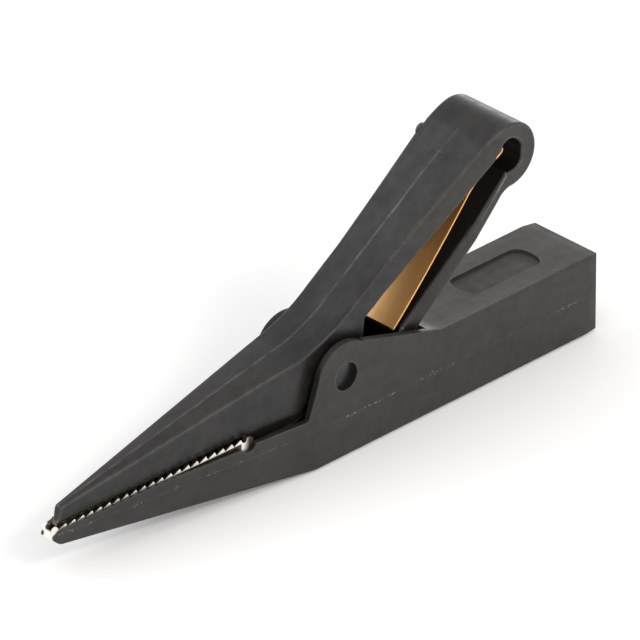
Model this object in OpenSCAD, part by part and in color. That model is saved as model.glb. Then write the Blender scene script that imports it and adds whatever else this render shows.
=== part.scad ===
// Insulated crocodile clip: a housing with a plug socket in its tail and a toothed lower jaw,
// and a spring-loaded lever that carries the upper jaw and turns on a cross pin between the ears.
// Millimetres. X runs from the jaw tips (-X) to the tail (+X), Z is up from the flat underside,
// and X = 0 lies straight below the pivot axis.

/* [Housing] */
// Pivot axis to the end face of the tail
tail_len = 32.8; // [30:0.1:38]
// Width across the tail and across the ears
body_w = 8.46; // [8:0.02:10]
// Height of the tail block
tail_h = 8.2; // [7.8:0.1:9.4]
// Height of the pivot axis above the underside
pivot_z = 8.3; // [8:0.1:9]
// Radius of each ear around the pivot axis
ear_r = 3.55; // [3.3:0.05:4]
// Wall thickness of the ears and of the channel between them
cheek_t = 0.75; // [0.6:0.05:0.9]
// Length of the ears' sloping back edge, measured along the tail from the pivot
ear_back = 12.5; // [11.5:0.1:14]
// Where the underside starts to rise towards the jaw tip
kink_x = 3.9; // [3:0.1:5]
// Pivot axis to the plastic tip of the lower jaw
jaw_len = 33.75; // [33.25:0.05:34.5]
// Width of the lower jaw's plastic tip
tip_w = 1.9; // [1.8:0.05:2.4]
// Height of the underside at the tip
tip_rise = 2.92; // [2.7:0.02:3.1]
// Height of the channel's rim just in front of the ears
rim_z = 5.36; // [5.2:0.02:5.5]
// Height of the rim at the middle of the teeth
rim_mid_z = 5.08; // [4.95:0.01:5.15]
// Height of the rim at the tip
rim_tip_z = 4.42; // [4.3:0.01:4.5]
// Thickness of the floor under the channel
floor_t = 1.2; // [1:0.05:1.3]
// Thickness of the side walls beside the last teeth
jaw_wall = 0.4; // [0.35:0.01:0.5]
// Thickness of the side walls at the tip
tip_wall = 0.25; // [0.2:0.01:0.3]
// Thickness of the floor at the tip
tip_floor = 0.5; // [0.4:0.02:0.6]
// Depth of the bare plaque recess on the tail
plaque_depth = 0.25; // [0.15:0.05:0.4]
// Length of the plaque recess
plaque_len = 9.6; // [8:0.1:11]
// Width of the plaque recess
plaque_w = 3.7; // [3:0.1:4.5]
// Length of the faint bevel around the tail's end
bevel_len = 1.5; // [1:0.1:2.5]

/* [Socket] */
// Bore of the plug socket
socket_d = 4; // [3.9:0.05:4.2]
// Wall of the socket sleeve
sleeve_wall = 0.7; // [0.5:0.05:0.8]
// How far the sleeve sits inside the tail's end face
sleeve_inset = 2; // [1.5:0.1:3]
// Depth of the plug bore in the sleeve
socket_depth = 16; // [13:0.5:17]

/* [Pivot] */
// Diameter of the cross pin
pin_d = 2.8; // [2.5:0.05:3]
// Radial running clearance of the lever on the pin
pin_gap = 0.05; // [0.02:0.01:0.1]
// Radius of the lever's hub between the ears
hub_r = 3.35; // [3:0.05:3.45]

/* [Lever] */
// Slope of the handle above the tail
handle_angle = 33.65; // [31:0.05:35]
// Slope of the jaw cover's top
cover_angle = 10.7; // [10:0.1:11.4]
// Pivot axis to the line of the lever's top
lever_top = 4.08; // [3.9:0.02:4.3]
// Thickness of the handle
handle_t = 2.72; // [2.6:0.02:2.8]
// Radius of the hollow between jaw cover and handle
hollow_r = 17; // [12:0.5:22]
// Fall of the lever's top towards its sides, in degrees
crown = 4; // [2:0.5:5]
// How far the jaw cover's tip stays behind the jaw's tip
cover_back = 1.05; // [0.9:0.05:1.6]
// Width of the handle at the loop
handle_w = 7.86; // [7.4:0.02:8.2]
// Gap between the lever's sides and the ears' inner faces
side_gap = 0.53; // [0.4:0.01:0.65]

/* [Loop and leg] */
// Pivot axis to the centre of the loop, along the handle
loop_dist = 25.9; // [25.5:0.05:26.5]
// Outer radius of the loop
loop_r = 3.27; // [3.2:0.01:3.4]
// Wall of the loop at its back
loop_wall = 1.44; // [1.3:0.02:1.6]
// Radius of the loop's slotted hole
hole_r = 1.15; // [1:0.05:1.25]
// Length of the straight part of the hole
hole_len = 0.95; // [0.6:0.05:1.2]
// Angle between handle and leg
leg_angle = 10.35; // [10:0.05:11]
// Length of the leg from the loop's centre
leg_len = 19.3; // [18.8:0.1:19.5]
// Thickness of the leg at the loop
leg_t = 0.92; // [0.8:0.02:1.2]
// Thickness of the leg at its foot
foot_t = 1.5; // [1.3:0.02:1.7]
// Width of the leg's foot
foot_w = 5.7; // [5.4:0.05:6.4]
// Width of the toe that carries the leaf spring
toe_w = 4.2; // [3.5:0.1:5]
// Radius of the fillet between loop and leg
loop_fillet = 2.4; // [1.5:0.1:3.5]
// Set-back of the leg's inner face from the loop's centre
leg_back = 1.02; // [0.94:0.02:1.1]

/* [Leaf spring] */
// Thickness of the spring strip
leaf_t = 0.22; // [0.2:0.05:0.4]
// Width of the spring strip
leaf_w = 6.4; // [5.6:0.1:6.5]
// Radius of the strip's set
leaf_r = 155; // [130:5:200]
// Length of the end that lies flat under the handle
leaf_tab = 4.6; // [4.2:0.1:5]

/* [Metal jaws] */
// Sheet thickness of both jaws
sheet = 0.28; // [0.24:0.01:0.32]
// Pitch of the teeth
pitch = 1; // [0.8:0.05:1.2]
// Height of the teeth
tooth_h = 0.42; // [0.3:0.02:0.5]
// Length of the toothed edge behind the plastic tip
teeth_len = 21.8; // [21.5:0.05:22.5]
// Height of the lower teeth at their back end
teeth_z = 6.06; // [5.9:0.02:6.2]
// Height of the lower teeth's line at the plastic tip
teeth_tip_z = 4.7; // [4.6:0.02:4.8]
// Set-back of the lower jaw's nose behind the plastic tip
nose = 0.15; // [0.1:0.01:0.3]
// Width of the strap that joins the lower jaw to the socket
strap_w = 3; // [2.4:0.1:3.4]
// Thickness of the upper jaw's shank
shank_t = 1.2; // [0.9:0.05:1.5]

/* [Hidden] */
$fn = 64;
half_w = body_w / 2;
inner_w = half_w - cheek_t;
tip_in = tip_w / 2 - tip_wall;
far = 60;
well_back = 10;
sleeve_r = socket_d / 2 + sleeve_wall;
sleeve_z = tail_h / 2;
sleeve_end = tail_len - sleeve_inset;
sleeve_front = well_back + 0.3;
lever_hw = inner_w - side_gap;
loop_rise = 0.2;
hole_drop = 0.24;
cover_under = 6;
cover_under_tip = 4.72;
bend_start = 22;
teeth_x = jaw_len - teeth_len;
cover_len = jaw_len - cover_back;
rim_knee = 23;
chin = 0.7;
leaf_lead = 6;
leaf_gap = 0.1;
leaf_drop = 0.35;
bevel_drop = 0.15;
front_x = -jaw_len - 3;

// Height of a straight line from [xa, za] to [xb, zb] at x.
function line_z(x, xa, za, xb, zb) = za + (zb - za) * (x - xa) / (xb - xa);
// Inner floor of the housing's channel.
function floor_z(x) = x > -kink_x ? floor_t : line_z(x, -kink_x, floor_t, -jaw_len, tip_rise + tip_floor);
// Half width of the housing's outside and inside, and of the jaw cover, at x.
function outside_hw(x) = line_z(x, -kink_x, half_w, -jaw_len, tip_w / 2);
function inside_hw(x) = x > -teeth_x
    ? line_z(x, -kink_x, inner_w, -teeth_x, outside_hw(-teeth_x) - jaw_wall)
    : line_z(x, -teeth_x, outside_hw(-teeth_x) - jaw_wall, -jaw_len, tip_in);
function cover_hw(x) = line_z(x, -4.7, lever_hw, -cover_len, inside_hw(-cover_len) - sheet - 0.12);
// Half width of the upper jaw's toothed part at x.
function upper_hw(x) = line_z(x, -teeth_x, cover_hw(-teeth_x) - 0.4, -cover_len, cover_hw(-cover_len) - 0.1);
// Underside of the jaw cover at x.
function cover_z(x) = line_z(x, -5, cover_under, -cover_len, cover_under_tip);
// Tips of the lower teeth at x.
function tip_z(x) = line_z(x, -teeth_x, teeth_z, -jaw_len, teeth_tip_z);
// The handle's rounding into the loop: its radius, and the lean of the plane where the loop starts.
function bend_r() =
    let (run = loop_dist - bend_start, rise = lever_top - loop_rise)
    (run * run + rise * rise - loop_r * loop_r) / (2 * (rise - loop_r));
function split_lean() = atan((loop_dist - bend_start) / (bend_r() - lever_top + loop_rise));
// Point where the line from p touches a circle of radius r about c, on the given side.
function touch(p, c, r, side) =
    let (v = p - c, a = atan2(v[1], v[0]) + side * acos(r / norm(v)))
    c + r * [cos(a), sin(a)];

// Top-view outline from the points of one side.
module both_sides(points) {
    polygon(concat(points, [for (i = [len(points) - 1:-1:0]) [points[i][0], -points[i][1]]]));
}

// Side-view outline given a width across the part.
module slab(w) {
    rotate([90, 0, 0])
        linear_extrude(height = w, center = true)
            children();
}

// Top-view outline given a height.
module plan(z0, z1) {
    translate([0, 0, z0])
        linear_extrude(height = z1 - z0)
            children();
}

// Cylinder across the part at the pivot axis.
module cross_bar(r, w) {
    translate([0, 0, pivot_z])
        rotate([90, 0, 0])
            cylinder(r = r, h = w, center = true);
}

// Cylinder along the tail from xa to xb at the socket's height.
module tail_bar(r, xa, xb) {
    translate([xa, 0, sleeve_z])
        rotate([0, 90, 0])
            cylinder(r = r, h = xb - xa);
}

// Frame of the handle: X along it from the pivot, Y square to its top.
module at_handle() {
    translate([0, pivot_z])
        rotate(handle_angle)
            children();
}

// Frame of the leg: origin at the loop's centre, the leg running along -X.
module at_leg() {
    at_handle()
        translate([loop_dist, loop_rise])
            rotate(leg_angle)
                children();
}

// Outline of the housing's sides.
module housing_side() {
    ear_front = [-4.67, rim_z];
    ear_top = touch(ear_front, [0, pivot_z], ear_r - 0.02, -1);
    polygon([
        [tail_len, 0],
        [tail_len, tail_h],
        [ear_back, tail_h],
        [2.3, pivot_z + ear_r - 0.62],
        [0, pivot_z],
        ear_top,
        ear_front,
        [-teeth_x + 1.6, rim_z],
        [-teeth_x - 0.6, rim_z - 0.15],
        [-rim_knee, rim_mid_z],
        [-jaw_len + 1, rim_tip_z],
        [-jaw_len, tip_rise + 1],
        [-jaw_len, tip_rise + 0.68],
        [-jaw_len + chin, tip_rise],
        [-kink_x, 0]
    ]);
    translate([0, pivot_z])
        circle(r = ear_r);
}

// Top view of the housing's inside from xa to xb, drawn in by the given amount.
module inside_plan(xa, xb, inset) {
    both_sides([
        [xa, inner_w - inset],
        [-kink_x, inner_w - inset],
        [-teeth_x, inside_hw(-teeth_x) - inset],
        [xb, inside_hw(xb) - inset]
    ]);
}

// Hollow between the ears and along the lower jaw.
module channel() {
    intersection() {
        slab(far)
            polygon([
                [well_back, floor_t],
                [well_back, tail_h - 0.5],
                [well_back + 0.9, tail_h + 0.48],
                [well_back + 0.9, far],
                [front_x, far],
                [front_x, floor_z(front_x)],
                [-kink_x, floor_t]
            ]);
        plan(0, far)
            inside_plan(well_back + 1, front_x, 0);
    }
}

// Bare recess with bowed ends on the tail's top.
module plaque() {
    end_r = plaque_w * 0.8;
    reach = plaque_len / 2 - end_r;
    translate([tail_len - 4.5 - plaque_len / 2, 0, tail_h - plaque_depth])
        linear_extrude(height = 2)
            intersection() {
                square([plaque_len, plaque_w], center = true);
                union() {
                    square([2 * reach + 2, plaque_w], center = true);
                    for (side = [-1, 1])
                        translate([side * reach, 0])
                            circle(r = end_r);
                }
            }
}

// Faint bevel on the top and both sides at the tail's end.
module end_bevel() {
    angle = atan(bevel_drop / bevel_len);
    translate([tail_len - bevel_len, 0, tail_h])
        rotate([0, angle, 0])
            translate([0, -body_w, 0])
                cube([10, 2 * body_w, 5]);
    for (side = [0, 1])
        mirror([0, side, 0])
            translate([tail_len - bevel_len, half_w, 0])
                rotate([0, 0, -angle])
                    translate([0, 0, -5])
                        cube([10, 5, 20]);
}

// Moulded housing: tail block, ears and lower jaw in one piece.
module housing() {
    color([0.09, 0.09, 0.09])
        difference() {
            intersection() {
                slab(body_w)
                    housing_side();
                plan(0, far)
                    both_sides([
                        [tail_len, half_w],
                        [-kink_x, half_w],
                        [-jaw_len + 0.7, outside_hw(-jaw_len + 0.7)],
                        [-jaw_len, tip_in + 0.06]
                    ]);
            }
            channel();
            cross_bar(pin_d / 2 + 0.01, 2 * body_w);
            tail_bar(sleeve_r, well_back - 1, sleeve_end);
            tail_bar(socket_d / 2 + 0.3, sleeve_end - 1, tail_len + 1);
            translate([well_back - 1, -strap_w / 2, floor_t])
                cube([5, strap_w, sheet + 0.4]);
            slab(far)
                translate([-teeth_x + 0.4, rim_z + 0.29])
                    circle(r = 0.95);
            plaque();
            end_bevel();
        }
}

// Side-view region under the lever's top: jaw cover, hollow and straight handle.
module lever_top_side() {
    mid = (handle_angle + cover_angle) / 2;
    half = (handle_angle - cover_angle) / 2;
    lead = (lever_top + hollow_r) * tan(half);
    along = [cos(handle_angle), sin(handle_angle)];
    square_up = [-sin(handle_angle), cos(handle_angle)];
    axis = [0, pivot_z];
    cover_lead = axis + lever_top * [-sin(cover_angle), cos(cover_angle)]
        - lead * [cos(cover_angle), sin(cover_angle)];
    handle_lead = axis + lever_top * square_up + lead * along;
    difference() {
        polygon([
            cover_lead - far * [cos(cover_angle), sin(cover_angle)],
            cover_lead,
            handle_lead,
            handle_lead + far * along,
            [far, -far],
            [-far, -far]
        ]);
        translate(axis + (lever_top + hollow_r) / cos(half) * [-sin(mid), cos(mid)])
            circle(r = hollow_r + 0.02, $fn = 120);
    }
}

// Side-view region under the handle's rounding into the loop.
module handle_cap() {
    at_handle() {
        translate([bend_start - 90, -far])
            square([90, 2 * far]);
        translate([bend_start, lever_top - bend_r()])
            intersection() {
                circle(r = bend_r(), $fn = 240);
                square([loop_dist, bend_r() + 1]);
            }
    }
}

// Gives a side-view region a ridge along the middle, falling to both sides by the crown angle.
module crowned() {
    for (side = [-1, 1])
        intersection() {
            translate([0, 0, pivot_z])
                rotate([-side * crown, 0, 0])
                    translate([0, 0, -pivot_z])
                        slab(3 * body_w)
                            children();
            translate([-far, side > 0 ? 0 : -2 * body_w, -far])
                cube([2 * far, 2 * body_w, 2 * far]);
        }
}

// Slotted hole of the loop.
module loop_hole() {
    centre = [
        loop_dist * cos(handle_angle) - loop_rise * sin(handle_angle) + loop_r - loop_wall - hole_r,
        pivot_z + loop_dist * sin(handle_angle) + loop_rise * cos(handle_angle) - hole_drop
    ];
    for (side = [-1, 1])
        translate(centre + [0, side * hole_len / 2])
            circle(r = hole_r);
    translate(centre)
        square([2 * hole_r, hole_len], center = true);
}

// Lever's outline above its underside: jaw cover, hub and handle up to the middle of the loop.
module lever_side() {
    heel = 5.3;
    under = lever_top - handle_t;
    lean = tan(split_lean());
    polygon([
        [0, pivot_z],
        [-hub_r * 0.9, pivot_z - hub_r * 0.43],
        [-5, cover_under],
        [-cover_len, cover_under_tip],
        [-cover_len + 0.25, cover_under_tip + 1.33],
        [-cover_len + 0.5, cover_under_tip + 1.66],
        [-cover_len + 0.5, far],
        [0, far]
    ]);
    translate([0, pivot_z])
        circle(r = hub_r);
    difference() {
        at_handle()
            polygon([
                [0, 0],
                hub_r * 0.97 * [cos(handle_angle), -sin(handle_angle)],
                [heel, under],
                [loop_dist - 1.6, under],
                [loop_dist + (1 - loop_rise) * lean, 1],
                [loop_dist + (far - loop_rise) * lean, far],
                [0, far]
            ]);
        loop_hole();
    }
}

// Top view of the lever: slim at the jaw, widest at the loop.
module lever_plan() {
    both_sides([
        [-cover_len - 1, cover_hw(-cover_len - 1)],
        [-4.7, lever_hw],
        [6, lever_hw + 0.05],
        [20, handle_w / 2],
        [far, handle_w / 2]
    ]);
}

// Boss under the handle that carries the leaf spring's tab.
module leaf_boss() {
    slab(leaf_w - 1.4)
        at_handle()
            translate([loop_dist - leaf_gap - leaf_tab + 0.3, lever_top - handle_t - leaf_drop])
                square([leaf_tab - 0.6, leaf_drop + 0.5]);
}

// Moulding gate's stub on one edge of the handle.
module gate_stub() {
    translate([0, handle_w / 2 - 0.2, 0])
        slab(0.7)
            at_handle()
                translate([loop_dist - 2.5, lever_top - 0.85])
                    circle(r = 0.65);
}

// Moulded lever: jaw cover and handle.
module lever() {
    color([0.1, 0.1, 0.1])
        difference() {
            union() {
                intersection() {
                    slab(far)
                        lever_side();
                    plan(-1, far)
                        lever_plan();
                    crowned()
                        lever_top_side();
                    slab(far)
                        handle_cap();
                }
                cross_bar(hub_r * 0.8, 2 * (inner_w - 0.08));
                leaf_boss();
                gate_stub();
            }
            cross_bar(pin_d / 2 + pin_gap, 2 * body_w);
            slab(shank_t + 0.1)
                shank_side(0.05);
        }
}

// Loop and leg in side view.
module arm_side() {
    difference() {
        at_leg()
            circle(r = loop_r);
        loop_hole();
        at_handle()
            translate([loop_dist, loop_rise])
                polygon([
                    [0, 0],
                    [far * tan(split_lean()), far],
                    [-far, far],
                    [-far, 0]
                ]);
        at_leg()
            translate([-30, -leg_back])
                square([30, 30]);
    }
    at_leg()
        leg_outline();
}

// Leg in its own frame, with a hollow fillet where its back runs into the loop.
module leg_outline() {
    lean = atan((foot_t - leg_t) / (leg_len - 3));
    along = [-cos(lean), -sin(lean)];
    down = [sin(lean), -cos(lean)];
    drop = (leg_back + leg_t) * cos(lean) - 2.5 * sin(lean);
    reach = sqrt(pow(loop_r + loop_fillet, 2) - pow(drop + loop_fillet, 2));
    centre = reach * along + (drop + loop_fillet) * down;
    difference() {
        polygon([
            [-1.2, -leg_back],
            [-leg_len, -leg_back],
            [-leg_len, -leg_back - foot_t * 0.7],
            [-leg_len + 0.5, -leg_back - foot_t],
            reach * along + drop * down,
            centre,
            centre * 0.8 * loop_r / (loop_r + loop_fillet),
            [-1.2, -leg_back - 0.5]
        ]);
        translate(centre)
            circle(r = loop_fillet + 0.03);
    }
}

// Toe at the leg's foot that carries the leaf spring's end.
module toe() {
    slab(toe_w)
        at_leg()
            polygon([
                [-leg_len + 1.6, -leg_back - 0.4],
                [-leg_len + 1.2, leaf_seat()],
                [-leg_len + 0.1, leaf_seat()],
                [-leg_len + 0.1, -leg_back - 0.4]
            ]);
}

// Top view of the arm: the handle's width at the loop, slim enough at the foot to pass the ears.
module arm_plan() {
    both_sides([
        [far, handle_w / 2],
        [17, handle_w / 2],
        [9, foot_w / 2],
        [0, foot_w / 2]
    ]);
}

// Springy loop and the leg that returns from it into the housing.
module loop_arm() {
    color([0.1, 0.1, 0.1])
        union() {
            intersection() {
                slab(far)
                    arm_side();
                plan(-1, far)
                    arm_plan();
            }
            toe();
        }
}

// Leaf spring's start in the leg's frame, and the height of its lower seat above the leg's axis.
function leaf_start() =
    let (x = -leaf_gap - leaf_tab, y = lever_top - handle_t - leaf_drop - leaf_t / 2 - loop_rise)
    [x * cos(leg_angle) + y * sin(leg_angle), -x * sin(leg_angle) + y * cos(leg_angle)];
function leaf_seat() = leaf_start()[1] - leaf_r * (1 - cos(leaf_lead)) - leaf_t / 2;

// Leaf spring in side view: a tab under the handle, a crank and a long set strip.
module leaf_side() {
    start = leaf_start();
    foot = -leg_len + 0.05;
    at_handle()
        translate([loop_dist - leaf_gap - leaf_tab, lever_top - handle_t - leaf_drop - leaf_t])
            square([leaf_tab, leaf_t]);
    at_leg()
        intersection() {
            translate([start[0] - leaf_r * sin(leaf_lead), start[1] + leaf_r * cos(leaf_lead)])
                difference() {
                    circle(r = leaf_r + leaf_t / 2, $fn = 360);
                    circle(r = leaf_r - leaf_t / 2, $fn = 360);
                }
            translate([foot, leaf_seat() - 1])
                square([start[0] - foot + 0.08, 5]);
        }
}

// Bronze leaf spring between handle and leg.
module leaf_spring() {
    color([0.72, 0.5, 0.2])
        slab(leaf_w)
            leaf_side();
}

// Row of teeth from xa towards the tip: steep on the tail side, gentle towards the tip.
function lower_row(n) = [
    for (i = [0:n - 1])
        each [
            [-teeth_x - i * pitch, tip_z(-teeth_x - i * pitch) - tooth_h],
            [-teeth_x - (i + 0.22) * pitch, tip_z(-teeth_x - i * pitch)]
        ]
];
function upper_row(n) = [
    for (i = [0:n - 1])
        each [
            [-teeth_x - (i + 0.3) * pitch, cover_z(-teeth_x - i * pitch) - 0.12],
            [-teeth_x - (i + 0.52) * pitch, cover_z(-teeth_x - i * pitch) - 0.12 - tooth_h]
        ]
];

// Lower jaw: toothed trough, closed at the nose, with a strap that runs back under the socket sleeve.
module lower_jaw() {
    count = floor(teeth_len / pitch) + 1;
    front = -jaw_len + nose;
    back = -teeth_x + 1.25;
    color([0.78, 0.77, 0.74])
        union() {
            difference() {
                intersection() {
                    slab(far)
                        polygon(concat(
                            [
                                [back, floor_z(back)],
                                [back, teeth_z - 0.35],
                                [back - 0.35, teeth_z],
                                [-teeth_x + 0.5, teeth_z],
                                [-teeth_x + 0.35, teeth_z - tooth_h]
                            ],
                            lower_row(count),
                            [
                                [front, teeth_tip_z - 0.2],
                                [front, floor_z(front)]
                            ]
                        ));
                    plan(0, far)
                        inside_plan(0, front, 0);
                }
                intersection() {
                    slab(far)
                        polygon([
                            [1, floor_z(1) + sheet],
                            [-kink_x, floor_t + sheet],
                            [front_x, floor_z(front_x) + sheet],
                            [front_x, far],
                            [1, far]
                        ]);
                    plan(0, far)
                        inside_plan(1, front + sheet, sheet);
                }
                translate([front - 1, sheet - tip_in, teeth_tip_z - 0.55])
                    cube([1.5, 2 * (tip_in - sheet), 2]);
            }
            slab(strap_w)
                polygon([
                    [well_back + 3.9, floor_t],
                    [-kink_x, floor_t],
                    [-teeth_x - 1, floor_z(-teeth_x - 1) + sheet * 0.2],
                    [-teeth_x - 1, floor_z(-teeth_x - 1) + sheet * 0.8],
                    [-kink_x, floor_t + sheet],
                    [well_back + 3.9, floor_t + sheet]
                ]);
        }
}

// Upper jaw's shank in side view, from the toothed part back to its eye on the pin.
module shank_side(grow) {
    eye = hub_r * 0.78 + grow;
    translate([0, pivot_z])
        circle(r = eye);
    polygon([
        [0, pivot_z + eye],
        [-teeth_x - 3, cover_z(-teeth_x - 3) + 1.3 + grow],
        [-teeth_x - 3 - grow, cover_z(-teeth_x - 3 - grow) - 0.01],
        [-5, cover_z(-5) - 0.01],
        [0, pivot_z - 0.5]
    ]);
}

// Upper jaw: toothed trough under the jaw cover, hooked over the pin by its shank.
module upper_jaw() {
    count = floor((cover_len - teeth_x - 0.8) / pitch);
    nose_x = -cover_len - 0.1;
    color([0.76, 0.75, 0.72])
        difference() {
            union() {
                difference() {
                    intersection() {
                        slab(far)
                            polygon(concat(
                                [[-teeth_x, cover_z(-teeth_x)]],
                                [[-teeth_x, cover_z(-teeth_x) - 0.12]],
                                upper_row(count),
                                [
                                    [nose_x, cover_z(nose_x) - 0.2],
                                    [nose_x, cover_z(nose_x)]
                                ]
                            ));
                        plan(0, far)
                            polygon([
                                [0, upper_hw(0)], [nose_x, upper_hw(nose_x)],
                                [nose_x, -upper_hw(nose_x)], [0, -upper_hw(0)]
                            ]);
                    }
                    intersection() {
                        slab(far)
                            polygon([
                                [0, cover_z(0) - 0.1],
                                [-cover_len + 5, cover_z(-cover_len + 5) - 0.1],
                                [-cover_len + 5, 0],
                                [0, 0]
                            ]);
                        plan(0, far)
                            polygon([
                                [0, upper_hw(0) - sheet],
                                [-cover_len + 4, upper_hw(-cover_len + 4) - sheet],
                                [-cover_len + 4, sheet - upper_hw(-cover_len + 4)],
                                [0, sheet - upper_hw(0)]
                            ]);
                    }
                }
                slab(shank_t)
                    shank_side(0);
            }
            cross_bar(pin_d / 2 + pin_gap, 2 * body_w);
        }
}

// Plug socket: sleeve with a blind bore, flattened below at its inner end for the strap.
module socket_sleeve() {
    color([0.8, 0.72, 0.5])
        difference() {
            tail_bar(sleeve_r, sleeve_front, sleeve_end);
            tail_bar(socket_d / 2, sleeve_end - socket_depth, sleeve_end + 1);
            translate([sleeve_front - 1, -sleeve_r, 0])
                cube([4.6, 2 * sleeve_r, floor_t + sheet]);
        }
}

// Cross pin, its end faces cut slightly askew and set just inside the ears.
module pivot_pin() {
    color([0.07, 0.07, 0.07])
        difference() {
            cross_bar(pin_d / 2, body_w);
            for (side = [0, 1])
                mirror([0, side, 0])
                    translate([0, half_w - 0.32, pivot_z])
                        rotate([-8, 0, -10])
                            translate([-5, 0, -5])
                                cube([10, 5, 10]);
        }
}

housing();
lever();
loop_arm();
leaf_spring();
lower_jaw();
upper_jaw();
socket_sleeve();
pivot_pin();
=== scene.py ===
# %% [markdown]
# # A fully insulated crocodile clip
# The real clip is two black mouldings that turn on a pin, with plated jaws inside, a bronze leaf
# spring between handle and leg, and a socket for a plug in the tail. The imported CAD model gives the
# exact solids; this lesson rounds the moulded edges, makes the loop one springy piece and adds the
# finishes. The clip could be modelled from nothing, but starting from the solids keeps every piece
# where the mechanism needs it. Lengths on the clip are written in millimetres and scaled to metres
# where a mesh is made.

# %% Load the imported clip
import math
import bmesh
import bpy
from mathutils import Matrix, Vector


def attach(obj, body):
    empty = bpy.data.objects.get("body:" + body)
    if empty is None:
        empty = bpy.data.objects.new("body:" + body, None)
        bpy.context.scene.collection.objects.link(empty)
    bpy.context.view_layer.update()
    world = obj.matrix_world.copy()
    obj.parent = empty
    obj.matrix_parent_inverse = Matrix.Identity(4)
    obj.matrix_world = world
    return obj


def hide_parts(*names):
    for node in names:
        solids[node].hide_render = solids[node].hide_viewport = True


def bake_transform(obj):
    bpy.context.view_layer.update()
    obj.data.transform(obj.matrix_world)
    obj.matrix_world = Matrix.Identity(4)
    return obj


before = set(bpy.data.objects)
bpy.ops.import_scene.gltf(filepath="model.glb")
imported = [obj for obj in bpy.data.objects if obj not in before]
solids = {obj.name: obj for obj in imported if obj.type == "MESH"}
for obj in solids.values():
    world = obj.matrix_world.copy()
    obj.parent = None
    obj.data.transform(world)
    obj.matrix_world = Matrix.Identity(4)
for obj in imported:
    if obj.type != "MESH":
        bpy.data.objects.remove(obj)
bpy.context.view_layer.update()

scene = bpy.context.scene
MM = 0.001
pivot = (0.0, 8.3)  # the pin's axis in the side view
print("solids:", sorted(solids))

# %% [markdown]
# ## Where the camera stands
# The photograph was taken from far away with a long lens, because the clip's parallel edges hardly
# draw together. A lens of some 740 mm at 1.2 m gives the same flat perspective. The camera looks down
# by 30 degrees on the near side, with the jaw's tip to the left.

# %% Camera
turn, rise = math.radians(44.53), math.radians(30.05)
aim = Vector((0.77, 0.0, 12.21)) * MM
distance_m = 1.2
sensor_mm = 36.0
picture_pixels, focal_pixels = 640, 13140
back = Vector((-math.sin(turn) * math.cos(rise), -math.cos(turn) * math.cos(rise), math.sin(rise)))
camera = bpy.data.objects.new("camera", bpy.data.cameras.new("camera"))
scene.collection.objects.link(camera)
camera.location = aim + distance_m * back
camera.rotation_mode = "QUATERNION"
camera.rotation_quaternion = (-back).to_track_quat("-Z", "Y")
camera.data.sensor_width = sensor_mm
camera.data.lens = sensor_mm * focal_pixels / picture_pixels
scene.camera = camera
print("lens in mm:", round(camera.data.lens, 1))

# %% [markdown]
# ## Small helpers for node materials
# A finish is a tree of nodes. Written out node by node it gets long, so one helper makes a node, sets
# its settings and fills its sockets: a socket given as a value gets that value, and a socket of
# another node gets a link.

# %% Node helper


def node(tree, kind, *inputs, **settings):
    """Adds a shader node. Inputs are (socket, value or other node's output) pairs."""
    made = tree.nodes.new("ShaderNode" + kind)
    for key, value in settings.items():
        setattr(made, key, value)
    for socket, value in inputs:
        if isinstance(value, bpy.types.NodeSocket):
            tree.links.new(value, made.inputs[socket])
        else:
            made.inputs[socket].default_value = value
    return made


def new_finish(name):
    """An empty material with its node tree and its shader."""
    finish = bpy.data.materials.new(name)
    finish.use_nodes = True
    return finish, finish.node_tree, finish.node_tree.nodes["Principled BSDF"]


# %% [markdown]
# Patterns are drawn from the place on the part in millimetres, so that their scale is true. A place
# that is stretched unevenly turns the clouds of a noise into streaks, and cutting a narrow range out
# of a noise turns its soft clouds into patches with a border.

# %% Places and patterns


def place_mm(tree):
    """The point on the part in millimetres, in the part's own frame."""
    here = node(tree, "TexCoord").outputs["Object"]
    return node(tree, "VectorMath", (0, here), ("Scale", 1 / MM), operation="SCALE").outputs[0]


def split(tree, vector):
    """The X, Y and Z of a vector."""
    return node(tree, "SeparateXYZ", ("Vector", vector)).outputs


def facing(tree):
    """The way the surface faces, as X, Y and Z."""
    return split(tree, node(tree, "TexCoord").outputs["Normal"])


def stretched(tree, place, scale, turn_deg=0.0):
    """The place turned about Y and scaled along each axis, to draw patterns out into streaks."""
    about_y = (0.0, math.radians(turn_deg), 0.0)
    return node(tree, "Mapping", ("Vector", place), ("Rotation", about_y), ("Scale", scale)).outputs[0]


def noise(tree, place, scale=1.0, detail=2.0, rough=0.5):
    """A cloudy pattern around 0.5. A larger scale makes smaller clouds."""
    return node(tree, "TexNoise", ("Vector", place), ("Scale", scale), ("Detail", detail),
                ("Roughness", rough)).outputs["Fac"]


def remap(tree, value, low, high, to_low=0.0, to_high=1.0):
    """Stretches one range of values to another and cuts off what lies outside."""
    return node(tree, "MapRange", ("Value", value), ("From Min", low), ("From Max", high),
                ("To Min", to_low), ("To Max", to_high)).outputs["Result"]


# %% [markdown]
# The patterns are then put together: added or multiplied as numbers, mixed as colours, or used as a
# height that bends the light as fine relief would. Edges are found by comparing the true normal with one
# that is rounded over a small radius; their lighter tint is rubbing and also a painted highlight.

# %% Sums, tints and relief


def maths(tree, how, first, *others):
    """A number worked out from one value, or from several in turn."""
    if not others:
        return node(tree, "Math", (0, first), operation=how).outputs[0]
    for other in others:
        first = node(tree, "Math", (0, first), (1, other), operation=how).outputs[0]
    return first


def product(tree, *values):
    return maths(tree, "MULTIPLY", *values)


def total(tree, *values):
    return maths(tree, "ADD", *values)


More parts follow.
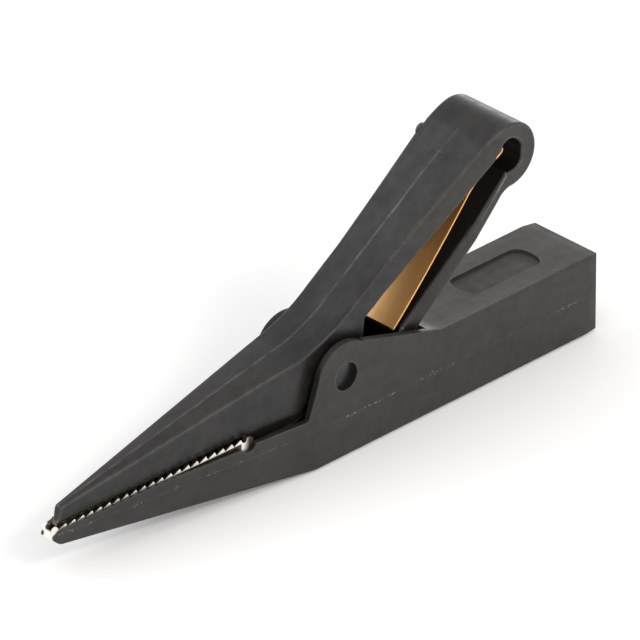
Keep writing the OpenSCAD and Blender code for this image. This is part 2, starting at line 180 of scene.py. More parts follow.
def tint(tree, share, first, second):
    """A colour between two others."""
    made = node(tree, "Mix", ("Factor", share), data_type="RGBA")
    colour_a, colour_b, colour_out = made.inputs[6], made.inputs[7], made.outputs[2]
    for socket, colour in ((colour_a, first), (colour_b, second)):
        if isinstance(colour, bpy.types.NodeSocket):
            tree.links.new(colour, socket)
        else:
            socket.default_value = (*colour, 1.0)
    return colour_out


def relief(tree, height, strength, depth_mm, below=None):
    """The normal bent by a height, on top of another relief if there is one below."""
    inputs = [("Height", height), ("Strength", strength), ("Distance", depth_mm * MM)]
    if below is not None:
        inputs.append(("Normal", below))
    return node(tree, "Bump", *inputs).outputs["Normal"]


def worn_and_highlit_edge(tree, radius_mm):
    """1 on sharp outer edges and 0 on flat faces, from how far a rounded normal leans off the true one."""
    on_flat, on_edge = 0.995, 0.93
    true = node(tree, "NewGeometry").outputs["Normal"]
    rounded = node(tree, "Bevel", ("Radius", radius_mm * MM), samples=6).outputs["Normal"]
    lean = node(tree, "VectorMath", (0, true), (1, rounded), operation="DOT_PRODUCT").outputs["Value"]
    return remap(tree, lean, on_flat, on_edge)


# %% [markdown]
# ## Soft studio light
# Black plastic shows little colour of its own: what the eye reads is the reflection of what stands
# around it. So the room is a white that gets dimmer towards the ceiling, which leaves the hollow of the
# lever darker than the tail's top. One panel behind brightens the handle, a low one in front lights the
# sides, a narrow one above the front draws the thin light line along the rounded edges, and a low one
# at the back is mirrored by the slopes behind the ears. Small hard lamps would make sparkling points
# that the photograph doesn't have.

# %% Room and panels
scene.view_settings.view_transform = "Standard"
room = bpy.data.worlds.new("studio")
scene.world = room
room.use_nodes = True
tree = room.node_tree
sky = split(tree, node(tree, "TexCoord").outputs["Generated"])["Z"]
wall_glow, ceiling_glow = 1.05, 0.80
backdrop = tree.nodes["Background"]
backdrop.inputs["Color"].default_value = (1.0, 0.988, 0.972, 1.0)
tree.links.new(remap(tree, sky, 0.3, 0.8, wall_glow, ceiling_glow), backdrop.inputs["Strength"])


def soft_panel(name, place, width, height, glow, colour):
    """An area light that faces the clip, given by how bright its face looks. Its lengths are in metres."""
    lamp = bpy.data.lights.new(name, "AREA")
    lamp.shape, lamp.size, lamp.size_y = "RECTANGLE", width, height
    lamp.energy, lamp.color = glow * math.pi * width * height, colour
    panel = bpy.data.objects.new(name, lamp)
    scene.collection.objects.link(panel)
    panel.location = place
    panel.rotation_mode = "QUATERNION"
    panel.rotation_quaternion = (aim - Vector(place)).to_track_quat("-Z", "Y")
    print(name, "watts:", round(lamp.energy, 2))


cool, warm, warmest = (0.97, 0.985, 1.0), (1.0, 0.97, 0.93), (1.0, 0.97, 0.92)
soft_panel("back_panel", (-0.32, 0.50, 0.58), width=0.62, height=0.60, glow=0.8, colour=cool)
soft_panel("front_panel", (-0.40, -0.45, 0.22), width=0.40, height=0.30, glow=0.6, colour=warm)
soft_panel("edge_panel", (0.06, -0.42, 0.42), width=0.32, height=0.09, glow=10.0, colour=warmest)
soft_panel("tail_panel", (0.46, 0.37, 0.09), width=0.30, height=0.12, glow=2.0, colour=cool)

# %% [markdown]
# ## The pale floor
# The photograph stands on plain white. A floor with a faint cloud in its colour that also glows a
# little is washed out to white, and keeps only a soft trace of shadow at the clip's foot.

# %% Floor
floor_mesh = bpy.data.meshes.new("floor")
half, level = 1.5, -0.0002  # metres
floor_mesh.from_pydata(
    [(-half, -half, level), (half, -half, level), (half, half, level), (-half, half, level)],
    [], [(0, 1, 2, 3)])
floor = bpy.data.objects.new("floor", floor_mesh)
scene.collection.objects.link(floor)
paper, tree, shader = new_finish("pale_floor")
cloud = noise(tree, place_mm(tree), scale=0.02)
white = tint(tree, cloud, (0.90, 0.905, 0.915), (0.93, 0.935, 0.945))
tree.links.new(white, shader.inputs["Base Color"])
shader.inputs["Roughness"].default_value = 0.9
shader.inputs["Emission Color"].default_value = (1.0, 1.0, 1.0, 1.0)
shader.inputs["Emission Strength"].default_value = 0.10
floor.data.materials.append(paper)
print("floor in metres:", 2 * half, "wide")

# %% [markdown]
# ## Moulded black plastic
# Both mouldings are a dark satin polyamide. Close up it isn't even: broad smudges from handling change
# its gloss, thick walls sink a little as they cool and leave shallow waves, there is a mottle from the
# mould's surface, a fine grain, edges tinted lighter for rubbing and as a painted highlight line, and
# short scuffs. Each of these is a noise with a scale of its own.

# %% Plastic
scuff_grey = (0.06, 0.062, 0.066)


def black_plastic(name, dark, light, satin, scuff_turn, rubbed_and_highlit, edge_band_mm=0.2, line=None, gloss=0.43):
    """Satin plastic between a dark and a light tone. A line function adds the parting line."""
    finish, tree, shader = new_finish(name)
    shader.inputs["Specular IOR Level"].default_value = gloss
    place = place_mm(tree)
    broad = stretched(tree, place, (0.16, 0.5, 0.3), scuff_turn)
    smudge = remap(tree, noise(tree, broad, detail=4.0, rough=0.6), 0.35, 0.65)
    mottle = remap(tree, noise(tree, place, scale=0.9, detail=4.0, rough=0.6), 0.3, 0.7)
    grain = noise(tree, place, scale=9.0)
    streaks = stretched(tree, place, (0.3, 2.2, 2.2), scuff_turn)
    scuff = remap(tree, noise(tree, streaks, detail=5.0, rough=0.65), 0.62, 0.80)
    uneven = remap(tree, noise(tree, place, scale=1.3, detail=3.0, rough=0.6), 0.3, 0.6, 0.3, 0.9)
    edge = product(tree, worn_and_highlit_edge(tree, edge_band_mm), uneven)
    shade = total(tree, product(tree, mottle, 0.5), product(tree, smudge, 0.5))
    colour = tint(tree, shade, dark, light)
    colour = tint(tree, product(tree, scuff, 0.35), colour, scuff_grey)
    # The edge tint is rubbing and also a painted highlight line along the rounded edges.
    colour = tint(tree, edge, colour, rubbed_and_highlit)
    bumps = total(tree, product(tree, grain, 0.35), mottle)
    dull = total(tree, remap(tree, shade, 0.0, 1.0, satin + 0.09, satin - 0.09), product(tree, scuff, 0.08))
    if line:
        colour, bumps, dull = line(tree, place, colour, bumps, dull)
    sinks = noise(tree, place, scale=0.3, detail=3.0)
    waves = relief(tree, sinks, strength=0.5, depth_mm=0.06)
    skin = relief(tree, bumps, strength=0.35, depth_mm=0.03, below=waves)
    tree.links.new(colour, shader.inputs["Base Color"])
    tree.links.new(dull, shader.inputs["Roughness"])
    tree.links.new(skin, shader.inputs["Normal"])
    return finish


# %% [markdown]
# Where the halves of the mould met, a parting line runs along the middle: on the housing at half
# height, with pale specks of flash in loose groups, and on the lever as a crease along its top, painted
# lighter both as wear and as a highlight.
# Neither is quite straight, so each follows a slow noise. The floor of the tail's recess and the tops
# of the ears were left matt, so they mirror less, and the hollow of the lever is dulled by thumbs.

# %% Parting lines
parting_height, recess_floor_height = 4.05, 7.95
flash_white, ridge_grey = (0.4, 0.4, 0.39), (0.05, 0.05, 0.05)
crease_wear_and_highlight, thumbed_black = (0.13, 0.127, 0.12), (0.001, 0.0011, 0.0016)


def near_line(tree, value, level, inner, outer, drift=0.0):
    """1 where a coordinate is close to a level that wanders a little, 0 further off."""
    off = maths(tree, "SUBTRACT", total(tree, value, drift), level)
    return remap(tree, maths(tree, "ABSOLUTE", off), outer, inner)


def wander(tree, place, by_mm, scale, detail=2.0):
    """A slow drift to either side."""
    return product(tree, maths(tree, "SUBTRACT", noise(tree, place, scale, detail), 0.5), by_mm)


def side_parting(tree, place, colour, bumps, dull):
    """The housing's parting line with specks of flash, the matt floor of its recess and matt ear tops."""
    parts, up = split(tree, place), facing(tree)["Z"]
    along, height = parts["X"], parts["Z"]
    recess = product(tree, near_line(tree, height, recess_floor_height, 0.1, 0.16),
                     remap(tree, along, 17.5, 18.0))
    ear_top = product(tree, remap(tree, up, 0.5, 0.7), remap(tree, height, 8.5, 8.7),
                      remap(tree, along, 9.8, 9.2))
    matt = total(tree, product(tree, recess, 0.16), product(tree, ear_top, 0.35))
    drift = wander(tree, place, 0.2, scale=0.3)
    ridge = near_line(tree, height, parting_height, 0.02, 0.06, drift)
    wide = near_line(tree, height, parting_height, 0.05, 0.35, drift)
    lengthwise = stretched(tree, place, (1.0, 0.2, 0.2))
    groups = remap(tree, noise(tree, lengthwise, scale=0.3), 0.50, 0.58)
    dashes = remap(tree, noise(tree, lengthwise, scale=1.6, detail=4.0, rough=0.7), 0.52, 0.62)
    grains = stretched(tree, place, (1.0, 0.6, 1.6))
    specks = remap(tree, noise(tree, grains, scale=5.0, detail=1.0), 0.66, 0.72)
    torn = maths(tree, "MAXIMUM", product(tree, ridge, dashes), product(tree, wide, specks))
    flash = product(tree, groups, torn)
    colour = tint(tree, product(tree, ridge, 0.2), colour, ridge_grey)
    colour = tint(tree, product(tree, flash, 0.7), colour, flash_white)
    return colour, total(tree, bumps, product(tree, ridge, 0.8)), total(tree, dull, matt)


def top_crease(tree, place, colour, bumps, dull):
    """The parting line along the middle of the lever's top, painted lighter as wear and as a highlight, and
    the thumbed patch in its hollow.
    """
    parts, up = split(tree, place), facing(tree)["Z"]
    along, across = parts["X"], parts["Y"]
    line = near_line(tree, across, 0.0, 0.03, 0.19, wander(tree, place, 0.3, scale=0.35, detail=3.0))
    on_top = product(tree, remap(tree, up, 0.5, 0.7), remap(tree, along, 21.0, 9.0))
    crease = product(tree, line, on_top)
    lengthwise = stretched(tree, place, (1.0, 0.1, 0.1))
    breakup = remap(tree, noise(tree, lengthwise, scale=0.8, detail=4.0, rough=0.65), 0.36, 0.60)
    fainter = remap(tree, along, 2.0, 9.0, 0.42, 0.8)
    hollow = product(tree, remap(tree, maths(tree, "ABSOLUTE", along), 9.0, 4.0), remap(tree, up, 0.3, 0.5))
    thumb_marks = stretched(tree, place, (0.25, 0.7, 0.4), 40.0)
    handled = remap(tree, noise(tree, thumb_marks, detail=4.0, rough=0.6), 0.36, 0.60, 0.35, 1.0)
    smear = product(tree, hollow, handled)
    colour = tint(tree, smear, colour, thumbed_black)
    # The crease is painted lighter, as wear and as a painted highlight.
    colour = tint(tree, product(tree, crease, product(tree, breakup, fainter)), colour, crease_wear_and_highlight)
    return colour, total(tree, bumps, crease), total(tree, dull, product(tree, smear, 0.06))


# %% [markdown]
# Four blacks come out of this. The housing is even, and the lever is more uneven. On both, the edge
# tint stands for rubbing and is also a painted highlight line: a little paler on the housing, much
# lighter on the lever. The pin's end is plain. The last one is painted shade for the walls in the loop
# that face the strip: darker, and it hardly mirrors anything.

# %% Four blacks
housing_black = black_plastic("housing_black", dark=(0.009, 0.0083, 0.0068), light=(0.023, 0.0211, 0.018),
                              satin=0.36, scuff_turn=0.0, rubbed_and_highlit=(0.075, 0.072, 0.065), line=side_parting)
lever_black = black_plastic("lever_black", dark=(0.002, 0.002, 0.0025), light=(0.021, 0.0203, 0.019),
                            satin=0.34, scuff_turn=-20.0, rubbed_and_highlit=(0.235, 0.218, 0.19), edge_band_mm=0.34,
                            line=top_crease)
pin_black = black_plastic("pin_black", dark=(0.008, 0.008, 0.008), light=(0.014, 0.014, 0.014),
                          satin=0.4, scuff_turn=0.0, rubbed_and_highlit=(0.05, 0.05, 0.05))
shaded_wall_black = black_plastic("shaded_wall_black", dark=(0.001, 0.001, 0.001), light=(0.005, 0.005, 0.004),
                           satin=0.5, scuff_turn=44.0, rubbed_and_highlit=(0.006, 0.006, 0.005), gloss=0.2)
print("plastics:", housing_black.name, lever_black.name, pin_black.name, shaded_wall_black.name)

# %% [markdown]
# ## Metals
# The jaws are sheet with nickel plate: bright, slightly warm and satin on the outer face of each tooth.
# The rest of the lower jaw is painted shade, brown on the edges and flanks, below the teeth where the
# sheet disappears in the trough and behind the notch, and dull on the inner faces. The upper jaw, in the
# shadow of its cover, gets a darker copy of the plate as painted shade. The leaf spring is rolled
# bronze, smooth and orange, with a painted reflection that makes it paler towards its foot. The socket
# is turned brass, with rings round its axis. All of them are the metallic shader with a noise that is
# drawn out the way the metal was worked.

# %% Metal
shade_brown, shaded_inside_plate, lit_bronze_tone = (0.085, 0.066, 0.045), (0.36, 0.32, 0.26), (0.96, 0.74, 0.42)
root_rise, root_height = 0.0624, 6.386  # the line along the teeth's roots, in the side view


def worked_metal(name, bright, stained, shine, drawn, strength, change=None):
    """Metal between a bright and a stained tone, with fine lines that are drawn out along its working."""
    finish, tree, shader = new_finish(name)
    place = place_mm(tree)
    lines = noise(tree, stretched(tree, place, drawn), detail=3.0, rough=0.6)
    stain = remap(tree, noise(tree, place, scale=0.8, detail=3.0), 0.45, 0.75)
    colour = tint(tree, stain, bright, stained)
    if change:
        colour = change(tree, place, colour)
    dull = total(tree, remap(tree, lines, 0.2, 0.8, shine - 0.05, shine + 0.05), product(tree, stain, 0.08))
    tree.links.new(colour, shader.inputs["Base Color"])
    tree.links.new(dull, shader.inputs["Roughness"])
    tree.links.new(relief(tree, lines, strength, depth_mm=0.01), shader.inputs["Normal"])
    shader.inputs["Metallic"].default_value = 1.0
    return finish


def plate_with_painted_shade(tree, place, colour):
    """Bright plate on the outer faces of the teeth and on the nose. Elsewhere painted shade: dull plate on
    inner faces, brown on the rest, below the roots and behind the notch.
    """
    parts = split(tree, place)
    along, across, height = parts["X"], parts["Y"], parts["Z"]
    outward = product(tree, facing(tree)["Y"], maths(tree, "SIGN", across))
    root = total(tree, product(tree, along, root_rise), root_height)
    above_root = remap(tree, maths(tree, "SUBTRACT", height, root), -0.04, 0.04)
    tooth = maths(tree, "MAXIMUM", above_root, remap(tree, along, -12.2, -12.0))
    unshaded = product(tree, remap(tree, outward, 0.6, 0.9), tooth, remap(tree, along, -11.2, -11.9))
    unshaded = maths(tree, "MAXIMUM", unshaded, remap(tree, along, -32.8, -33.3))
    # Painted shade: brown and dull plate where the sheet lies in shadow.
    painted_shade = tint(tree, remap(tree, outward, -0.6, -0.9), shade_brown, shaded_inside_plate)
    return tint(tree, unshaded, painted_shade, colour)


def painted_light_at_foot(tree, place, colour):
    """A painted reflection makes the strip paler towards its foot, more on the far half, in a patch with a
    soft streaky border.
    """
    parts = split(tree, place)
    streaks = noise(tree, stretched(tree, place, (0.25, 1.1, 0.25)), detail=3.0, rough=0.6)
    across = total(tree, parts["Y"], remap(tree, streaks, 0.3, 0.7, -1.0, 1.0))
    low_down, far_half = remap(tree, parts["Z"], 15.0, 9.5), remap(tree, across, -1.8, 1.4, 0.1, 0.9)
    # Painted reflection: a paler bronze towards the foot.
    return tint(tree, product(tree, low_down, far_half), colour, lit_bronze_tone)


nickel = worked_metal("nickel_plate", bright=(0.95, 0.93, 0.88), stained=(0.74, 0.70, 0.62), shine=0.40,
                      drawn=(0.8, 5.0, 5.0), strength=0.1, change=plate_with_painted_shade)
shaded_nickel = worked_metal("nickel_in_painted_shade", bright=(0.42, 0.37, 0.30), stained=(0.26, 0.21, 0.15),
                            shine=0.35, drawn=(0.8, 5.0, 5.0), strength=0.1)
bronze = worked_metal("rolled_bronze", bright=(0.97, 0.53, 0.20), stained=(0.92, 0.45, 0.15), shine=0.48,
                      drawn=(0.4, 6.0, 0.4), strength=0.06, change=painted_light_at_foot)
brass = worked_metal("turned_brass", bright=(0.80, 0.66, 0.36), stained=(0.62, 0.46, 0.22), shine=0.25,
                     drawn=(12.0, 0.4, 0.4), strength=0.2)
print("metals:", nickel.name, shaded_nickel.name, bronze.name, brass.name)

# %% [markdown]
# ## Copies that can be rounded
# A mould's edges are never sharp: they have a small radius that catches a thin line of light. The CAD
# solids have sharp edges and come as triangles, so a moulding is copied, its triangles are joined back
# into whole flat faces, and only then the edges are rounded, because a bevel needs clean edge chains.
# The rounded strips are marked, for the shading later on.

# %% Copy, join and round
same_corner = 0.002 * MM


def merge_corners(shape, apart=same_corner):
    bmesh.ops.remove_doubles(shape, verts=shape.verts, dist=apart)


def copy_of(*names):
    """One mesh from copies of solids, with a mark on each face for the roundings to come."""
    shape = bmesh.new()
    for name in names:
        shape.from_mesh(solids[name].data)
    merge_corners(shape)
    shape.faces.layers.int.new("rounded")
    return shape


def join_flats(shape, angle_deg=0.6):
    """Joins triangles that lie in one plane."""
    flat = math.radians(angle_deg)
    bmesh.ops.dissolve_limit(shape, angle_limit=flat, verts=shape.verts, edges=shape.edges)


def count_open(shape):
    return sum(1 for edge in shape.edges if len(edge.link_faces) != 2)


def round_edges(shape, radius_mm, wanted, steps=3, sharper_than=25):
    """Rounds the edges that the test picks by their middle point in mm and their two faces' normals."""
    picked = []
    for edge in shape.edges:
        if len(edge.link_faces) == 2 and edge.calc_face_angle(0) > math.radians(sharper_than):
            middle = (edge.verts[0].co + edge.verts[1].co) / (2 * MM)
            if wanted(middle, [face.normal for face in edge.link_faces], edge):
                picked.append(edge)
    made = bmesh.ops.bevel(shape, geom=picked, offset=radius_mm * MM, segments=steps, profile=0.5,
                           affect="EDGES", clamp_overlap=False)
    mark = shape.faces.layers.int["rounded"]
    for face in made["faces"]:
        face[mark] = 1
    return len(picked)


# %% [markdown]
# A finished shape becomes an object with a finish. Only the marked roundings and the curved walls are
# shaded smooth, so a flat face meets the next one in a crisp line. Normals are weighted by area, which
# keeps large faces flat right up to their rounded edges.

# %% Shape to piece
corner_lean, curve_lean, flat_lean = 50, 22, 2  # degrees between two faces


def dress(piece, finish):
    piece.data.materials.clear()
    piece.data.materials.append(finish)
    return piece


def is_crisp(edge, mark, flat_mm2):
    """True at hard corners, at plain bends that are too strong for a curve, and between large flat faces."""
    one, two = edge.link_faces
    lean = math.degrees(edge.calc_face_angle(0))
    plain = not one[mark] and not two[mark]
    large = min(one.calc_area(), two.calc_area()) > flat_mm2 * MM * MM
    return lean > corner_lean or plain and (lean > curve_lean or large and lean > flat_lean)


def as_piece(shape, name, finish, flat_mm2=7.0):
    """Turns a bmesh into an object with a finish, crisp between flat faces and smooth over roundings."""
    merge_corners(shape)
    bmesh.ops.recalc_face_normals(shape, faces=shape.faces)
    mark = shape.faces.layers.int["rounded"]
    for edge in shape.edges:
        if len(edge.link_faces) == 2:
            edge.smooth = not is_crisp(edge, mark, flat_mm2)
    for face in shape.faces:
        face.smooth = True
    print(name, "faces:", len(shape.faces), "open edges:", count_open(shape))
    mesh = bpy.data.meshes.new(name)
    shape.to_mesh(mesh)
    shape.free()
    piece = bpy.data.objects.new(name, mesh)
    scene.collection.objects.link(piece)
    even = piece.modifiers.new("flat_faces_stay_flat", "WEIGHTED_NORMAL")
    even.keep_sharp = True
    return dress(piece, finish)


# %% [markdown]
# ## Housing
# Tail block, ears and lower trough are one moulding. The recess on the tail gets its rounded corners
# first, then the jaw's chin is rounded, and last the outer edges by about a tenth of a millimetre, while
# the small steps inside stay as they are. The round could be a shader trick, but then the outline
# against the white floor would still look cut with a knife.

# %% Housing moulding
tip_from = -32.0
taper_from, taper, tail_half = -3.85, 0.11, 4.23
shape = copy_of("housing")
join_flats(shape)


def in_recess(middle, half_wide, above):
    return 18 < middle.x < 29 and abs(middle.y) < half_wide and middle.z > above


def at_recess_corner(middle, normals, edge):
    upright = abs(edge.verts[0].co.z - edge.verts[1].co.z) > 0.15 * MM
    return upright and in_recess(middle, 2.1, 7.7) and abs(middle.y) > 1.6


def at_recess_rim(middle, normals, edge):
    return in_recess(middle, 2.1, 8.19) and max(n.z for n in normals) > 0.9


def on_chin(middle, normals, edge):
    across = abs(edge.verts[0].co.y - edge.verts[1].co.y) > 1.0 * MM
    return across and middle.x < -32.5 and middle.z < 3.8 and max(n.x for n in normals) < 0.2


def on_housing_outside(middle, normals, edge):
    beside = any(abs(n.y) > 0.9 for n in normals)
    pin_hole = abs(middle.x) < 1.6 and abs(middle.z - pivot[1]) < 1.6
    # inside are the trough's floor, the tail's hollow and the inner edges of the thin walls at the tip
    out, half_here = abs(middle.y), tail_half - taper * (taper_from - middle.x)
    inner = (out < 0.9 and middle.x > tip_from or out < 3.3 and middle.x > 9
             or out < half_here - 0.15 and middle.x <= tip_from)
    tiny = edge.calc_length() <= 0.05 * MM
    return beside and not (inner or pin_hole or tiny or in_recess(middle, 2.2, 7.6))


print("recess corners:", round_edges(shape, 0.55, at_recess_corner, steps=5))
print("recess rim:", round_edges(shape, 0.05, at_recess_rim, steps=2))
print("chin:", round_edges(shape, 0.3, on_chin, steps=4, sharper_than=15))
print("outer edges:", round_edges(shape, 0.11, on_housing_outside))
housing_moulding = as_piece(shape, "housing_moulding", housing_black)
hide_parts("housing")
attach(housing_moulding, "base")

# %% [markdown]
# ## Lever, loop and leg in one
# On the real clip the jaw cover, the handle, the springy loop and the leg are a single moulding. The
# mechanism needs two solids there, which meet in a plane at the top of the loop. The seam is taken out:
# the two faces that touch are deleted and their corners merged. A boolean union would do the same, but
# it stumbles over faces that lie exactly on each other.

# %% Join the lever and the loop
loop_centre = Vector((21.4493, 0.0, 22.8181))
seam_normal = Vector((0.9619, 0.0, 0.2735)).normalized()
seam_up = Vector((-seam_normal.z, 0.0, seam_normal.x))


def in_seam(face):
    off = face.calc_center_median() / MM - loop_centre
    on_plane = abs(face.normal.dot(seam_normal)) > 0.999 and abs(off.dot(seam_normal)) < 0.02
    return on_plane and off.dot(seam_up) > 0.9


shape = copy_of("lever", "loop_arm")
touching = [face for face in shape.faces if in_seam(face)]
bmesh.ops.delete(shape, geom=touching, context="FACES")
merge_corners(shape, apart=0.01 * MM)
print("seam faces taken out:", len(touching), "open edges left:", count_open(shape))

# %% [markdown]
# The hole in the loop is rounder than the solids' plain slot. It leans towards the handle, where it leaves
# room for the strip's curled end, and its back wall is thicker. The hole runs straight through, so its
# corners can be moved in the side view alone. How far each one moves depends on where it lies round the
# hole. The handle's underside in front of the hole follows, to stay flat. The leg below the hole is
# a little thicker than the solid, on the side that faces the strip.

# %% Rounder hole and thicker leg
leg_slope = math.radians(44.0)
leg_along = Vector((math.cos(leg_slope), 0.0, math.sin(leg_slope)))
leg_up = Vector((-math.sin(leg_slope), 0.0, math.cos(leg_slope)))
leg_inside, leg_thicker = -1.02, 0.3
leg_toe, leg_start = 6.0, 21.3
slot_at, slot_radius, slot_straight = Vector((22.13, 0.0, 22.578)), 1.15, 0.475
slot_moves = [  # degrees round the slot, then how far along x and z
    (-122, -0.216, -0.208), (-104, -0.24, 0.13), (-86, -0.32, 0.24), (-62, -0.45, 0.20),
    (-43, -0.43, 0.12), (-22, -0.36, 0.0), (16, -0.33, 0.0), (43, -0.34, -0.03), (62, -0.36, 0.05),
    (74, -0.40, 0.16), (92, -0.46, 0.36), (117, -0.55, 0.505), (129.4, -0.613, 0.57), (136, -0.707, 0.441)]
underside_moves = {(20.0, 23.117): (20.0, 23.534), (20.603, 23.368): (20.272, 23.865)}


def slot_move(angle):
    """How far a corner at this angle moves, or None outside the table."""
    for (a, ax, az), (b, bx, bz) in zip(slot_moves, slot_moves[1:]):
        if a <= angle <= b:
            share = (angle - a) / (b - a)
            return Vector((ax + (bx - ax) * share, 0.0, az + (bz - az) * share)) * MM
    return None


moved = 0
for corner in shape.verts:
    off = corner.co / MM - slot_at
    from_slot = math.hypot(off.x, max(abs(off.z) - slot_straight, 0.0)) - slot_radius
    move = slot_move(math.degrees(math.atan2(off.z, off.x))) if abs(from_slot) < 0.02 else None
    if move is not None:
        corner.co += move
        moved += 1
    for (x, z), (new_x, new_z) in underside_moves.items():
        if math.hypot(corner.co.x / MM - x, corner.co.z / MM - z) < 0.01:
            corner.co.x, corner.co.z = new_x * MM, new_z * MM
            moved += 1
    above_leg = (corner.co / MM - loop_centre).dot(leg_up) - leg_inside
    if abs(above_leg) < 0.03 and leg_toe < corner.co.x / MM < leg_start:
        corner.co += leg_thicker * leg_up * MM
        moved += 1
print("corners moved on the hole and the leg:", moved)

# %% [markdown]
# Behind the teeth the jaw cover has cheeks that dip into the trough, so that no gap opens there when the
# jaws are shut. A cut across the copy marks where they begin, and the underside behind it is drawn
# down in two steps that lean inwards. They stay between the trough's walls, which are wider. The steps
# are marked like roundings, so the side fades into the dark instead of ending in a line.

# %% Cheeks of the jaw cover
cheek_front, cheek_back, cheek_below = -11.1, -3.2, 6.6
cheek_steps = ((0.3, 0.2), (1.0, 0.2))  # down and inwards
join_flats(shape)
bmesh.ops.bisect_plane(shape, geom=shape.verts[:] + shape.edges[:] + shape.faces[:], dist=0.0005 * MM,
                       plane_co=(cheek_front * MM, 0, 0), plane_no=(1, 0, 0))


def under_cheek(face):
    middle = face.calc_center_median() / MM
    return face.normal.z < -0.9 and cheek_front - 0.1 < middle.x < cheek_back and middle.z < cheek_below


underside = [face for face in shape.faces if under_cheek(face)]
print("faces under the cheeks:", len(underside))
mark = shape.faces.layers.int["rounded"]
for down, inwards in cheek_steps:
    drawn = bmesh.ops.extrude_face_region(shape, geom=underside)["geom"]
    bmesh.ops.delete(shape, geom=underside, context="FACES")
    underside = [item for item in drawn if isinstance(item, bmesh.types.BMFace)]
    for corner in (item for item in drawn if isinstance(item, bmesh.types.BMVert)):
        corner.co.z -= down * MM
        if abs(corner.co.y) > 1.0 * MM:
            corner.co.y -= math.copysign(inwards * MM, corner.co.y)
        for face in corner.link_faces:
            face[mark] = int(face not in underside)
bmesh.ops.recalc_face_normals(shape, faces=shape.faces)
join_flats(shape)
print("open edges with the cheeks:", count_open(shape))

# %% [markdown]
# The rounding follows the outline on both sides. The half width of the lever and of the leg is known at
# a few stations, which tells the outline from the boss and the slot inside. The jaw cover's lower edge
# is rounder than the rest, so that it fades into the dark gap above the trough. The hub, the toe and
# the gate's stub are small and stay as they are.

# %% Round the lever's outline
lever_half = [(-33.0, 0.40), (-4.7, 2.95), (6.0, 3.0), (20.0, 3.93)]
leg_half = [(9.0, 2.85), (17.0, 3.93)]
hub_radius = 2.85
stub_at, stub_reach = (17.69, 23.96), 0.75
lip_at = (20.90, 21.289)


def between(x, stations):
    """Straight line through a few (x, value) stations."""
    for (xa, va), (xb, vb) in zip(stations, stations[1:]):
        if x <= xb:
            return va + (vb - va) * (max(x, xa) - xa) / (xb - xa)
    return stations[-1][1]


def from_point(middle, point):
    """Distance from a point in the side view."""
    return math.hypot(middle.x - point[0], middle.z - point[1])


def on_lever_outline(middle, normals, edge):
    beside = max(abs(n.y) for n in normals) > 0.9 and min(abs(n.y) for n in normals) < 0.6
    outer = abs(middle.y) > min(between(middle.x, lever_half), between(middle.x, leg_half)) - 0.08
    hub = from_point(middle, pivot) < hub_radius
    stub = middle.y > 0 and from_point(middle, stub_at) < stub_reach
    return beside and outer and not hub and not stub


def under_the_cover(middle, normals, edge):
    return middle.x < -3.5 and min(n.z for n in normals) < -0.7 and on_lever_outline(middle, normals, edge)


def inside_the_leg(middle, normals, edge):
    off = middle - loop_centre
    on_leg = -17.5 < off.dot(leg_along) < -3.0 and off.dot(leg_up) < 1.2
    faces_spring = max(n.dot(leg_up) for n in normals) > 0.8
    return on_leg and faces_spring and on_lever_outline(middle, normals, edge)


def at_leg_start(middle, normals, edge):
    return from_point(middle, lip_at) < 0.06 and max(abs(n.y) for n in normals) < 0.1


print("leg's start in the hole:", round_edges(shape, 0.16, at_leg_start, steps=4))
print("cover's lower edges:", round_edges(shape, 0.3, under_the_cover, steps=4))
print("leg's edges beside the spring:", round_edges(shape, 0.4, inside_the_leg, steps=5))
print("lever's outline:", round_edges(shape, 0.25, on_lever_outline, steps=4))
lever_moulding = as_piece(shape, "lever_moulding", lever_black)
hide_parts("lever", "loop_arm")

# %% [markdown]
# The walls of the hole and the leg's inner face look at the bright strip. They get painted shade: a
# second material of the same piece, darker and with little gloss, so that they stay dark next to the
# strip.

# %% Painted shade on the walls in the loop
# The second material is painted shade on the faces that look at the strip.
lever_moulding.data.materials.append(shaded_wall_black)
hole_at, hole_reach = (21.7, 22.85), 1.95
matt = 0
for face in lever_moulding.data.polygons:
    middle = face.center / MM
    above_leg = (middle - loop_centre).dot(leg_up) - leg_inside - leg_thicker
    hole_wall = from_point(middle, hole_at) < hole_reach
    faces_strip = middle.x > leg_toe and abs(above_leg) < 0.08
    if abs(face.normal.y) < 0.1 and (hole_wall or faces_strip):
        face.material_index = 1
        matt += 1
print("faces left matt by the core:", matt)

# %% [markdown]
# When the handle is pressed, the loop bends and the leg swings towards the handle. The script doesn't
# bend it here: it prints how low the hub and the jaw cover come above the loop's centre, measured square
# to the leg, and bakes the lever's place into its mesh. Square to the leg, all of the handle and the hub
# lie above a bend zone across the loop; square to the handle, the hub would fall into it and be dragged.

# %% Height of the hub above the loop
heights = [(corner.co / MM - loop_centre).dot(leg_up) for corner in lever_moulding.data.vertices
           if corner.co.x / MM < leg_toe]
print("lowest part of hub and jaw cover above the loop's centre, square to the leg:", round(min(heights), 2))
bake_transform(lever_moulding)

# %% [markdown]
# ## Leaf spring
# The spring is a strip of rolled bronze. Its upper end lies under the handle and curls up a little in
# the loop's hole, then a crank bends it out, and it runs in a slight bow down to the leg's toe. The
# course is walked point by point in the side view: the bow is an arc in a frame along the leg, and the
# rest is a row of points in a frame along the handle.

# %% Course of the strip
handle_slope = math.radians(33.65)
bow_radius, bow_from, bow_to, bow_steps = 155.0, math.radians(0.536), math.radians(6.0), 28
crank = (-4.4977, 1.533)
after_crank = [(21.2 + d, 0.9 - 0.012 / (0.2 + d)) for d in (0.08, 0.3, 0.7)]
curled_end = [(22.6, 0.9), (23.4, 0.89), (24.1, 0.84), (24.7, 0.75), (25.2, 0.68), (25.55, 0.66),
              (25.8, 0.71), (25.94, 0.82), (26.0, 0.95)]


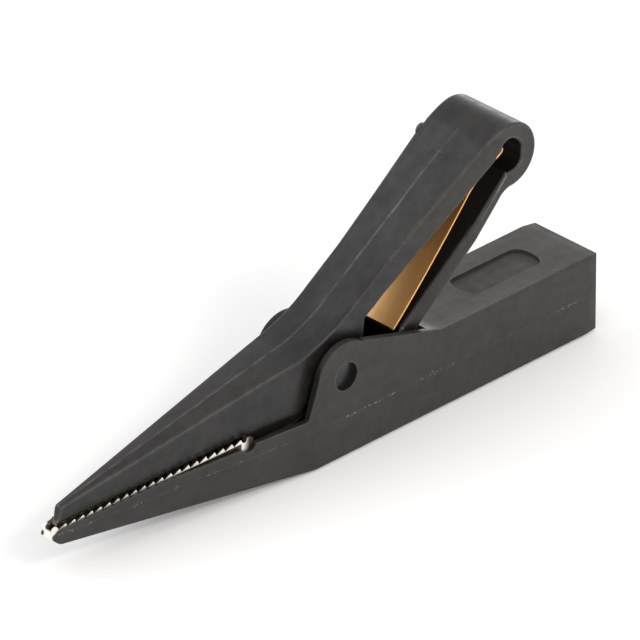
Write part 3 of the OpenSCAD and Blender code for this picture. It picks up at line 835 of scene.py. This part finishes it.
def turned(origin, angle, x, y):
    """A side-view point given in a frame that is turned by an angle about Y."""
    return Vector((origin[0] + x * math.cos(angle) - y * math.sin(angle),
                   origin[1] + x * math.sin(angle) + y * math.cos(angle)))


course = []
for i in range(bow_steps + 1):
    at = bow_from + (bow_to - bow_from) * i / bow_steps
    course.append(turned((loop_centre.x, loop_centre.z), leg_slope,
                         crank[0] + bow_radius * (math.sin(at) - math.sin(bow_to)),
                         crank[1] + bow_radius * (math.cos(bow_to) - math.cos(at))))
course = course[:-1] + [turned(pivot, handle_slope, x, y) for x, y in after_crank + curled_end]
print("strip length in mm:", round(sum((b - a).length for a, b in zip(course, course[1:])), 2))

# %% [markdown]
# The CAD solid has the same course with sharp edges. Here a cross section with rounded edges is swept
# along it, which gives the pale line on the strip's edge. On the clip the strip bends between its foot,
# which moves with the leg, and its knee at the crank, which stays with the handle; here it doesn't bend.

# %% Sweep the cross section
strip_wide, strip_thick, strip_round = 6.4, 0.16, 0.07
shape = bmesh.new()
shape.faces.layers.int.new("rounded")
section = []  # four corners, each an arc of four points across and through the strip
for side, level, start in ((1, 1, 0), (-1, 1, 90), (-1, -1, 180), (1, -1, 270)):
    for step in range(4):
        at = math.radians(start + 30 * step)
        section.append((side * (strip_wide / 2 - strip_round) + strip_round * math.cos(at),
                        level * (strip_thick / 2 - strip_round) + strip_round * math.sin(at)))
rings = []
for i, here in enumerate(course):
    ahead = (course[min(i + 1, len(course) - 1)] - course[max(i - 1, 0)]).normalized()
    up = Vector((-ahead.y, ahead.x))
    rings.append([shape.verts.new(Vector((here.x + up.x * t, w, here.y + up.y * t)) * MM)
                  for w, t in section])
for ring, after in zip(rings, rings[1:]):
    for k in range(len(section)):
        shape.faces.new((ring[k], ring[k - 1], after[k - 1], after[k]))
shape.faces.new(rings[0])
shape.faces.new(list(reversed(rings[-1])))
spring_strip = as_piece(shape, "spring_strip", bronze, flat_mm2=1000.0)
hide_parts("leaf_spring")
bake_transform(spring_strip)

# %% [markdown]
# ## Jaws, socket and pin
# These four need no other form than their solids. Stamped and turned metal leaves the tumbling drum
# with its edges broken by a few hundredths of a millimetre, which a bevel modifier adds without touching
# the solids' meshes. The upper jaw has steps that are finer than such a bevel and lies in the shade of
# its cover, so it keeps its edges.

# %% Finishes on the other solids
broken_edge, sharp_edge = 0.03 * MM, math.radians(35)
# The upper jaw gets a darker copy of the plate: painted shade for the shadow of its cover.
dress(solids["upper_jaw"], shaded_nickel)
for name, finish in (("lower_jaw", nickel), ("socket_sleeve", brass), ("pivot_pin", pin_black)):
    piece = dress(solids[name], finish)
    joined = piece.modifiers.new("joined_corners", "WELD")
    joined.merge_threshold = same_corner
    tumbled = piece.modifiers.new("tumbled_edges", "BEVEL")
    tumbled.width, tumbled.segments = broken_edge, 2
    tumbled.limit_method, tumbled.angle_limit = "ANGLE", sharp_edge
    piece.modifiers.new("flat_faces_stay_flat", "WEIGHTED_NORMAL")
    print(name, "faces before the edges are broken:", len(piece.data.polygons))
